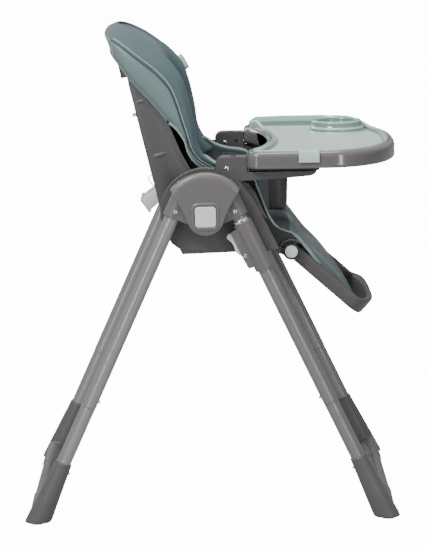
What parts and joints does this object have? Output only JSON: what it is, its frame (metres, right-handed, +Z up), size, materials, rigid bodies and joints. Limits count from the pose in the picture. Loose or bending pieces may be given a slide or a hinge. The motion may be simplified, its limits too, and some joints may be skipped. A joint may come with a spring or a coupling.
{
  "type": "baby high chair",
  "caption": "Folding baby high chair on two leg frames, with a sliding padded seat, reclining hooded backrest, hinged leg rest and removable feeding tray.",
  "frame": {"origin": "on the floor under the middle of the chair's length and width, standing open at its highest seat position", "axes": "+Z up, +X the way the child faces, +Y to the child's left"},
  "size_m": [0.8196, 0.6136, 1.0528],
  "materials": {
    "frame_plastic": "warm mid-grey moulded plastic, fine satin texture",
    "shell_plastic": "dark warm grey moulded plastic, satin",
    "dark_plastic": "near-black grey plastic, satin",
    "button_plastic": "pale cool grey plastic, smooth",
    "tube_paint": "satin metallic grey powder coat",
    "steel": "bright zinc-plated steel",
    "rubber": "black rubber, matt",
    "tray_plastic": "warm grey plastic, high gloss",
    "insert_plastic": "sage green plastic, high gloss",
    "fabric": "teal-grey coated fabric with a fine leather-like grain"
  },
  "bodies": {
    "front_frame": {"front_upper_tube_left": "tube_paint", "front_upper_tube_right": "tube_paint", "front_lower_tube_left": "tube_paint", "front_lower_tube_right": "tube_paint", "front_boot_left": "frame_plastic", "front_boot_right": "frame_plastic", "front_floor_bar": "tube_paint", "front_glide_left": "rubber", "front_glide_right": "rubber", "front_hub_socket_left": "frame_plastic", "front_hub_socket_right": "frame_plastic", "hub_cover_left": "frame_plastic", "hub_cover_right": "frame_plastic", "hub_axle_left": "steel", "hub_axle_right": "steel", "fold_spring_left": "steel", "fold_spring_right": "steel"},
    "rear_frame": {"rear_upper_tube_left": "tube_paint", "rear_upper_tube_right": "tube_paint", "rear_lower_tube_left": "tube_paint", "rear_lower_tube_right": "tube_paint", "rear_boot_left": "frame_plastic", "rear_boot_right": "frame_plastic", "rear_floor_bar": "tube_paint", "rear_glide_left": "rubber", "rear_glide_right": "rubber", "rear_hub_socket_left": "frame_plastic", "rear_hub_socket_right": "frame_plastic"},
    "seat": {"height_slider_left": "frame_plastic", "height_slider_right": "frame_plastic", "side_plate_left": "shell_plastic", "side_plate_right": "shell_plastic", "armrest_left": "frame_plastic", "armrest_right": "frame_plastic", "leg_rest_hinge_left": "dark_plastic", "leg_rest_hinge_right": "dark_plastic", "leg_rest_pin_left": "steel", "leg_rest_pin_right": "steel", "recline_pin_left": "steel", "recline_pin_right": "steel", "seat_base": "shell_plastic", "seat_pad": "fabric"},
    "backrest": {"back_shell": "shell_plastic", "back_pad": "fabric"},
    "recline_handle": {"recline_handle": "button_plastic"},
    "leg_rest": {"leg_rest_shell": "shell_plastic", "leg_rest_pad": "fabric"},
    "tray": {"tray_base": "tray_plastic", "tray_runner_left": "dark_plastic", "tray_runner_right": "dark_plastic", "crotch_post": "dark_plastic"},
    "tray_insert": {"tray_insert": "insert_plastic"},
    "tray_release": {"tray_release_lever": "frame_plastic"},
    "fold_button_left": {"fold_button_left": "button_plastic"},
    "height_trigger_left": {"height_trigger_left": "button_plastic"},
    "leg_rest_button_left": {"leg_rest_button_left": "button_plastic"},
    "fold_button_right": {"fold_button_right": "button_plastic"},
    "height_trigger_right": {"height_trigger_right": "button_plastic"},
    "leg_rest_button_right": {"leg_rest_button_right": "button_plastic"}
  },
  "joints": [
    {"name": "frame_fold", "type": "hinge", "parent": "front_frame", "child": "rear_frame", "pos_m": [-0.00668, 0, 0.664], "axis": [0, -1, 0], "range_deg": [0, 49.9]},
    {"name": "seat_height", "type": "slide", "parent": "front_frame", "child": "seat", "axis": [0.4258, 0, -0.9048], "range_m": [0, 0.24]},
    {"name": "back_recline", "type": "hinge", "parent": "seat", "child": "backrest", "pos_m": [-0.04668, 0, 0.64], "axis": [0, -1, 0], "range_deg": [0, 35]},
    {"name": "leg_rest_angle", "type": "hinge", "parent": "seat", "child": "leg_rest", "pos_m": [0.17532, 0, 0.569], "axis": [0, -1, 0], "range_deg": [-38, 41.8]},
    {"name": "tray_slide", "type": "slide", "parent": "seat", "child": "tray", "axis": [1, 0, 0], "range_m": [0, 0.07]},
    {"name": "insert_lift", "type": "slide", "parent": "tray", "child": "tray_insert", "axis": [0, 0, 1], "range_m": [0, 0.08]},
    {"name": "tray_release_squeeze", "type": "slide", "parent": "tray", "child": "tray_release", "axis": [0, 0, 1], "range_m": [0, 0.003], "stiffness_N_per_m": 1500},
    {"name": "recline_handle_lift", "type": "hinge", "parent": "backrest", "child": "recline_handle", "pos_m": [-0.1096, 0, 0.67473], "axis": [0, 1, 0], "range_deg": [0, 12], "stiffness_Nm_per_rad": 1.5},
    {"name": "fold_button_right_press", "type": "slide", "parent": "front_frame", "child": "fold_button_right", "axis": [0, 1, 0], "range_m": [0, 0.005], "stiffness_N_per_m": 1200, "deforming": ["fold_spring_right"]},
    {"name": "height_trigger_right_squeeze", "type": "hinge", "parent": "seat", "child": "height_trigger_right", "pos_m": [0.06948, -0.2715, 0.58202], "axis": [0, 1, 0], "range_deg": [0, 6], "stiffness_Nm_per_rad": 0.8},
    {"name": "leg_rest_button_right_press", "type": "slide", "parent": "seat", "child": "leg_rest_button_right", "axis": [0, 1, 0], "range_m": [0, 0.004], "stiffness_N_per_m": 1200},
    {"name": "fold_button_left_press", "type": "slide", "parent": "front_frame", "child": "fold_button_left", "axis": [0, -1, 0], "range_m": [0, 0.005], "stiffness_N_per_m": 1200, "deforming": ["fold_spring_left"]},
    {"name": "height_trigger_left_squeeze", "type": "hinge", "parent": "seat", "child": "height_trigger_left", "pos_m": [0.06948, 0.2715, 0.58202], "axis": [0, 1, 0], "range_deg": [0, 6], "stiffness_Nm_per_rad": 0.8},
    {"name": "leg_rest_button_left_press", "type": "slide", "parent": "seat", "child": "leg_rest_button_left", "axis": [0, -1, 0], "range_m": [0, 0.004], "stiffness_N_per_m": 1200}
  ]
}
